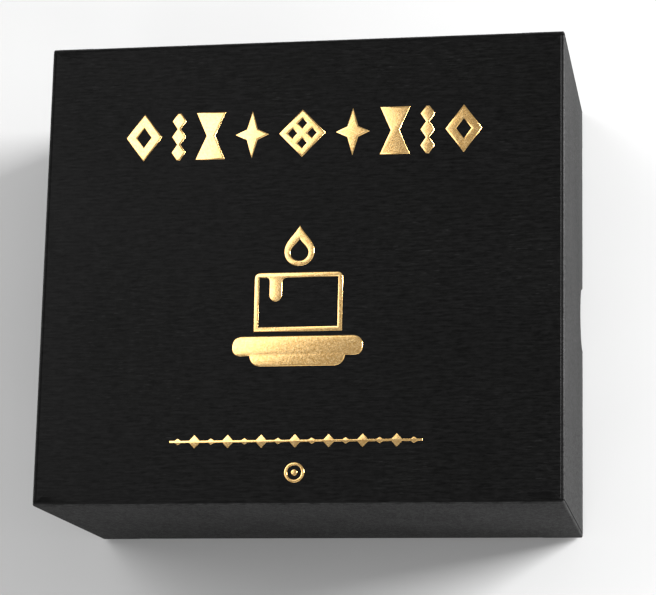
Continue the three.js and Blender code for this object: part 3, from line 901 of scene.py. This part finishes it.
def strand_point(low, high, strand, share):
    """The middle of a plaited strand, share of the way up the wick. strand is its share of a turn."""
    z = low.z + STRAND_RADIUS + (high.z - low.z - 2 * STRAND_RADIUS) * share
    turn = 2 * math.pi * ((z - low.z) / STRAND_PITCH + strand)
    lean = WICK_LEAN * max(0.0, (share - (1 - WICK_TIP)) / WICK_TIP) ** 2
    return Vector((STRAND_SPREAD * math.sin(turn) + lean,
                   0.55 * STRAND_SPREAD * math.sin(2 * turn), z))


def strand_rows(low, high, strand, steps=150, sides=10, ahead=0.002):
    """Rings of points along a strand. ahead is how far the next place is looked for, to find the
    strand's direction."""
    rows = []
    for i in range(steps + 1):
        share = i / steps
        middle = strand_point(low, high, strand, share)
        along = (strand_point(low, high, strand, min(1, share + ahead))
                 - strand_point(low, high, strand, max(0, share - ahead))).normalized()
        across = along.cross(Vector((0, 1, 0))).normalized()
        over = along.cross(across)
        turns = [2 * math.pi * j / sides for j in range(sides)]
        rows.append([middle + STRAND_RADIUS * (math.cos(a) * across + math.sin(a) * over)
                     for a in turns])
    return rows


def add_wick():
    """A waxed wick of three plaited strands, a little bent at its tip."""
    low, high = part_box("wick")
    strands = 3
    work = bmesh.new()
    for k in range(strands):
        strand = loft(f"strand_{k}", strand_rows(low, high, k / strands))
        work.from_mesh(strand)
        bpy.data.meshes.remove(strand)
    mesh = bpy.data.meshes.new("candle_plaited_wick")
    work.to_mesh(mesh)
    work.free()
    piece("candle_plaited_wick", mesh, "candle", "cotton", ["wick"])


# ---------------------------------------------------------------- what stays as in the CAD

def finish_cad_nodes():
    for node, material in (("lid_lining", "black_lining"), ("tray_base_sheet", "black_lining"),
                           ("foam_pad", "foam"), ("wick_clip", "tin")):
        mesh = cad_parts[node].data
        mesh.materials.clear()
        mesh.materials.append(MATERIALS[material])


# ---------------------------------------------------------------- stage, lights and camera

def add_floor():
    finish = Finish("pale_floor", Roughness=0.85, Specular_IOR_Level=0.2)
    tone = finish.noise(9.0, detail=2)
    finish.feed(finish.ramp(tone, (0.3, 0.6), (0.7, 0.63)), "Base Color")
    reach = 25.0
    corners = [(-reach, -reach, 0), (reach, -reach, 0), (reach, reach, 0), (-reach, reach, 0)]
    mesh = bpy.data.meshes.new("floor")
    mesh.from_pydata(corners, [], [(0, 1, 2, 3)])
    mesh.materials.append(finish.material)
    floor = bpy.data.objects.new("floor", mesh)
    bpy.context.scene.collection.objects.link(floor)


def add_light(name, place, size, power):
    """A soft white panel that faces the middle of the box."""
    light = bpy.data.lights.new(name, "AREA")
    light.shape = "RECTANGLE"
    light.size, light.size_y = size
    light.energy = power
    panel = bpy.data.objects.new(name, light)
    panel.location = place
    aim = Vector((0, 0, 40 * MM)) - Vector(place)
    panel.rotation_euler = aim.to_track_quat("-Z", "Y").to_euler()
    bpy.context.scene.collection.objects.link(panel)


def add_lights():
    world = bpy.data.worlds.new("studio")
    world.use_nodes = True
    background = world.node_tree.nodes["Background"]
    background.inputs["Color"].default_value = (1, 1, 1, 1)
    background.inputs["Strength"].default_value = 0.36
    bpy.context.scene.world = world
    bpy.context.scene.view_settings.view_transform = "Standard"
    add_light("key_left", place=(-0.94, 0.5, 1.2), size=(1.0, 1.5), power=12)
    add_light("side_right", place=(1.0, 0.3, 0.32), size=(0.4, 0.9), power=38)
    add_light("overhead_right", place=(0.75, 0.1, 1.45), size=(1.0, 1.2), power=3)
    add_light("fill_front", place=(0.1, -1.2, 0.9), size=(1.2, 0.8), power=5)


def add_camera():
    """Looks down on the lid, from a little to the right and in front of it."""
    tilt_front, tilt_right, roll = 11.7, 9.0, -0.86  # degrees
    origin_in_view = Vector((-10.06, 12.70, -767.5)) * MM  # the box's origin, in camera axes
    camera = bpy.data.cameras.new("camera")
    camera.lens = 125.6
    camera.sensor_width = 36.0
    camera.shift_x, camera.shift_y = -0.07, 0.10
    camera.clip_start, camera.clip_end = 0.05, 20
    holder = bpy.data.objects.new("camera", camera)
    turn = (Matrix.Rotation(math.radians(tilt_front), 4, "X")
            @ Matrix.Rotation(math.radians(tilt_right), 4, "Y")
            @ Matrix.Rotation(math.radians(roll), 4, "Z"))
    holder.matrix_world = turn @ Matrix.Translation(-origin_in_view)
    bpy.context.scene.collection.objects.link(holder)
    bpy.context.scene.camera = holder


add_camera()
add_lights()
add_floor()
add_wraps()
add_boards()
add_stays()
add_foil()
add_insert()
add_base_body()
add_base_sleeve()
add_base_felt()
add_cup()
add_wax()
add_wick()
finish_cad_nodes()
